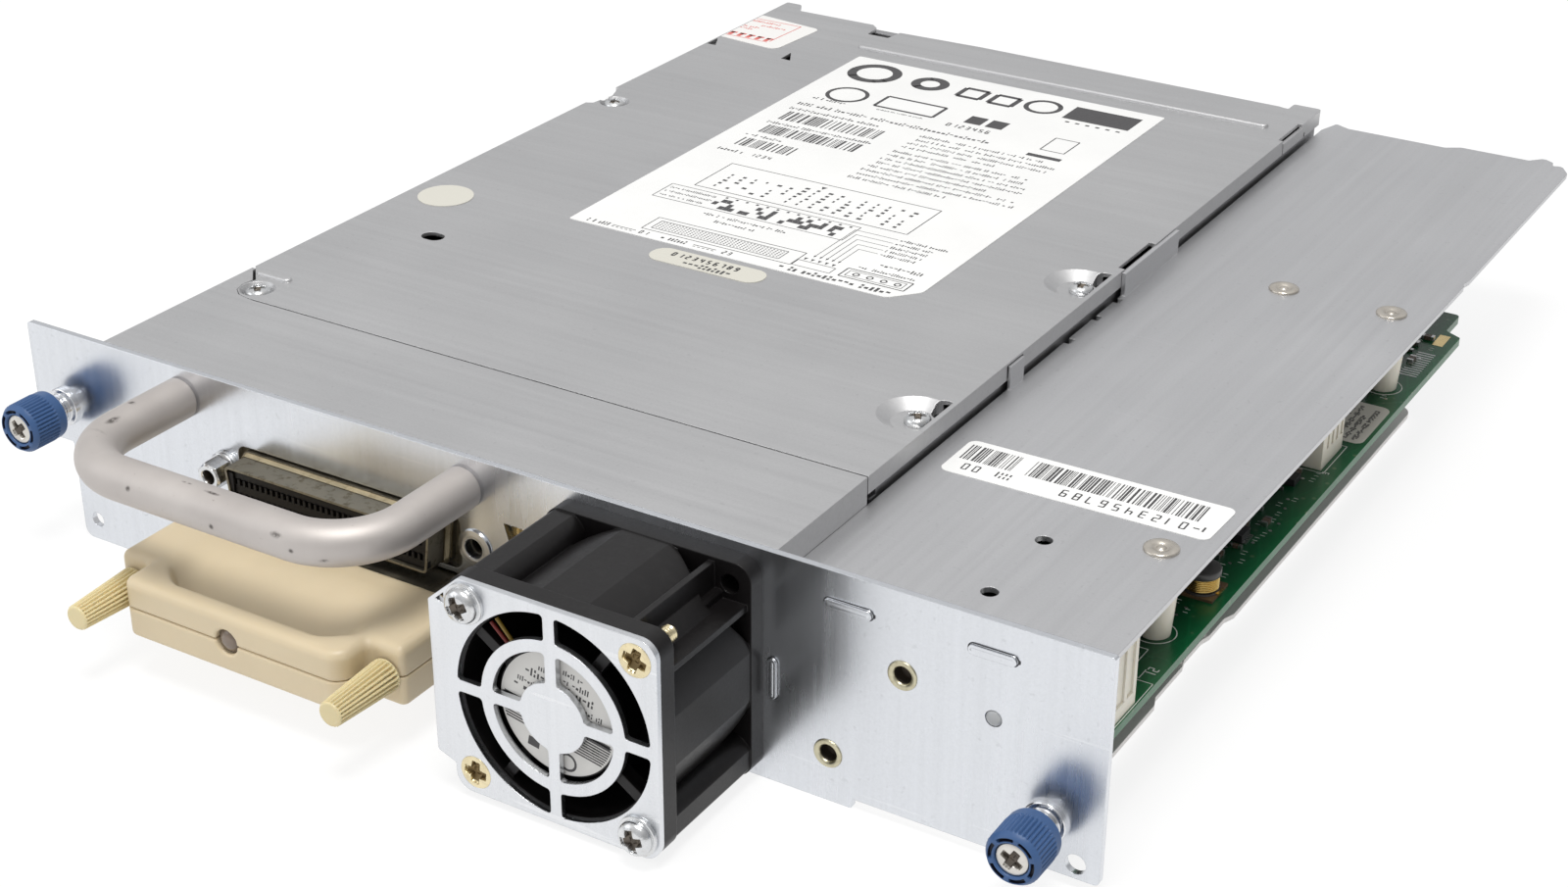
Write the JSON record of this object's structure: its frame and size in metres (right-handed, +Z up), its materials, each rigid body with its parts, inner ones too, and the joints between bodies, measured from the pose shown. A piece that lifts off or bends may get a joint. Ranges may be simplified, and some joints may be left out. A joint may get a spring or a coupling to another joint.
{
  "type": "tape drive module",
  "caption": "Half-height data tape drive in a sheet-metal sled with front handle, captive thumbscrews, fan, stacked wide sockets with a plugged terminator and a side interface board.",
  "frame": {"origin": "centre of the module's bounding box in plan, on the plane of the tray runners and the panel's lower edge", "axes": "+X to the right along the panel seen from the handle side, +Y from the panel towards the cartridge slot, +Z up"},
  "size_m": [0.2234, 0.2897, 0.0441],
  "materials": {
    "panel_zinc": "bright zinc-plated sheet, faintly blue, nearly mirror-like with fine rolling streaks",
    "sled_zinc": "galvanised sheet, soft satin sheen with fine scratches",
    "drive_zinc": "galvanised drive cover sheet, satin, with faint streaks and scratches",
    "cast_alloy": "die-cast alloy, fine grain",
    "handle_alloy": "satin drawn rod, lightly scuffed",
    "knob_blue": "blue moulded plastic with fine straight ribs",
    "ink_black": "black print on a label",
    "lead_yellow": "insulated wire, glossy",
    "screw_steel": "nickel-plated steel",
    "screw_zinc": "plain zinc-plated steel screw",
    "screw_yellow": "yellow-passivated zinc-plated steel",
    "clinch_steel": "yellow-tinged zinc-plated steel",
    "fan_black": "black moulded glass-filled plastic, satin",
    "rotor_black": "black moulded plastic",
    "guard_zinc": "bright zinc-plated stamped sheet",
    "fan_label_white": "white printed film with plain dark bars",
    "lead_red": "insulated wire, glossy",
    "shell_gold": "tarnished gold-nickel plated connector shell",
    "contact_gold": "gold flashed contacts",
    "insert_black": "black moulded connector insert",
    "term_beige": "beige moulded plastic with a fine spark-eroded texture",
    "term_thumb": "pale yellow moulded plastic, ribbed",
    "lens_clear": "clear lens over a small indicator",
    "light_pipe_grey": "frosted translucent light pipe",
    "pcb_green": "green solder mask over glass-fibre laminate",
    "pcb_dark": "green solder mask, shaded",
    "chip_black": "moulded epoxy package",
    "nylon_white": "natural white nylon",
    "inductor_black": "ferrite core with copper winding",
    "label_white": "white label with a satin film face",
    "label_tint": "pale printed label",
    "reel_white": "moulded reel, pale",
    "tray_steel": "plain stamped steel",
    "door_black": "black moulded plastic door",
    "head_alloy": "machined alloy with a polished face"
  },
  "bodies": {
    "module": {"faceplate": "panel_zinc", "tray_floor": "sled_zinc", "bay_cover": "sled_zinc", "bay_cover_rivets": "screw_zinc", "pcb_standoffs": "nylon_white", "interface_board": "pcb_green", "board_chips": "chip_black", "inductor": "inductor_black", "connector_front": "nylon_white", "connector_mid": "nylon_white", "handle": "handle_alloy", "handle_screws": "screw_zinc", "clinch_nuts": "clinch_steel", "light_pipe": "light_pipe_grey", "captive_ferrules": "screw_steel", "fan_frame": "fan_black", "fan_label": "fan_label_white", "fan_guard": "guard_zinc", "fan_pan_screws": "screw_zinc", "fan_flush_screws": "screw_yellow", "fan_leads": "lead_red", "hd68_shells": "shell_gold", "hd68_inserts": "insert_black", "hd68_contacts": "contact_gold", "jackscrews": "screw_zinc", "connector_board": "pcb_dark", "id_header": "insert_black", "drive_top_cover": "drive_zinc", "strip_cover": "drive_zinc", "cover_screws": "screw_zinc", "drive_screws": "screw_zinc", "drive_bottom_cover": "drive_zinc", "drive_chassis": "cast_alloy", "drive_board": "pcb_dark", "reel_motors": "cast_alloy", "head_actuator": "cast_alloy", "label_main": "label_white", "label_barcode": "label_white", "labels_small": "label_tint"},
    "captive_left": {"captive_clip_left": "screw_steel"},
    "screw_left": {"knob_left": "knob_blue", "captive_screw_left": "screw_steel"},
    "captive_right": {"captive_clip_right": "screw_steel"},
    "screw_right": {"knob_right": "knob_blue", "captive_screw_right": "screw_steel"},
    "rotor": {"fan_rotor": "rotor_black"},
    "terminator": {"term_shell_top": "term_beige", "term_shell_bottom": "term_beige", "term_plug": "shell_gold", "term_board": "pcb_dark", "term_lens": "lens_clear"},
    "thumb_left": {"term_screw_left": "term_thumb"},
    "thumb_right": {"term_screw_right": "term_thumb"},
    "reel": {"takeup_reel": "reel_white"},
    "hub": {"cartridge_hub": "chip_black"},
    "head": {"head_assembly": "head_alloy"},
    "roller_left": {"guide_roller_left": "reel_white"},
    "roller_right": {"guide_roller_right": "reel_white"},
    "loader": {"loader_tray": "tray_steel"},
    "door": {"cartridge_door": "door_black"}
  },
  "joints": [
    {"name": "captive_left_slide", "type": "slide", "parent": "module", "child": "captive_left", "axis": [0, 1, 0], "range_m": [0, 0.0025], "stiffness_N_per_m": 300},
    {"name": "captive_left_spin", "type": "hinge", "parent": "captive_left", "child": "screw_left", "pos_m": [-0.1044, -0.10715, 0.02765], "axis": [0, 1, 0], "continuous": true},
    {"name": "captive_right_slide", "type": "slide", "parent": "module", "child": "captive_right", "axis": [0, 1, 0], "range_m": [0, 0.0025], "stiffness_N_per_m": 300},
    {"name": "captive_right_spin", "type": "hinge", "parent": "captive_right", "child": "screw_right", "pos_m": [0.10215, -0.10715, 0.01075], "axis": [0, 1, 0], "continuous": true},
    {"name": "fan_spin", "type": "hinge", "parent": "module", "child": "rotor", "pos_m": [0.0308, -0.11915, 0.0216], "axis": [0, 1, 0], "continuous": true},
    {"name": "terminator_pull", "type": "slide", "parent": "module", "child": "terminator", "axis": [0, -1, 0], "range_m": [0, 0.015]},
    {"name": "thumb_left_spin", "type": "hinge", "parent": "terminator", "child": "thumb_left", "pos_m": [-0.06345, -0.13515, 0.01445], "axis": [0, 1, 0], "continuous": true},
    {"name": "thumb_right_spin", "type": "hinge", "parent": "terminator", "child": "thumb_right", "pos_m": [-0.00695, -0.13515, 0.01445], "axis": [0, 1, 0], "continuous": true},
    {"name": "reel_spin", "type": "hinge", "parent": "module", "child": "reel", "pos_m": [-0.0202, -0.02715, 0.02185], "axis": [0, 0, 1], "continuous": true},
    {"name": "hub_spin", "type": "hinge", "parent": "module", "child": "hub", "pos_m": [-0.0202, 0.08285, 0.01385], "axis": [0, 0, 1], "continuous": true},
    {"name": "head_lift", "type": "slide", "parent": "module", "child": "head", "axis": [0, 0, 1], "range_m": [-0.002, 0.002]},
    {"name": "roller_left_spin", "type": "hinge", "parent": "module", "child": "roller_left", "pos_m": [-0.0513, 0.02235, 0.02185], "axis": [0, 0, 1], "continuous": true},
    {"name": "roller_right_spin", "type": "hinge", "parent": "module", "child": "roller_right", "pos_m": [0.0109, 0.02235, 0.02185], "axis": [0, 0, 1], "continuous": true},
    {"name": "loader_slide", "type": "slide", "parent": "module", "child": "loader", "axis": [0, -1, 0], "range_m": [0, 0.01]},
    {"name": "door_hinge", "type": "hinge", "parent": "module", "child": "door", "pos_m": [-0.0202, 0.12985, 0.04025], "axis": [-1, 0, 0], "range_deg": [0, 88]}
  ]
}
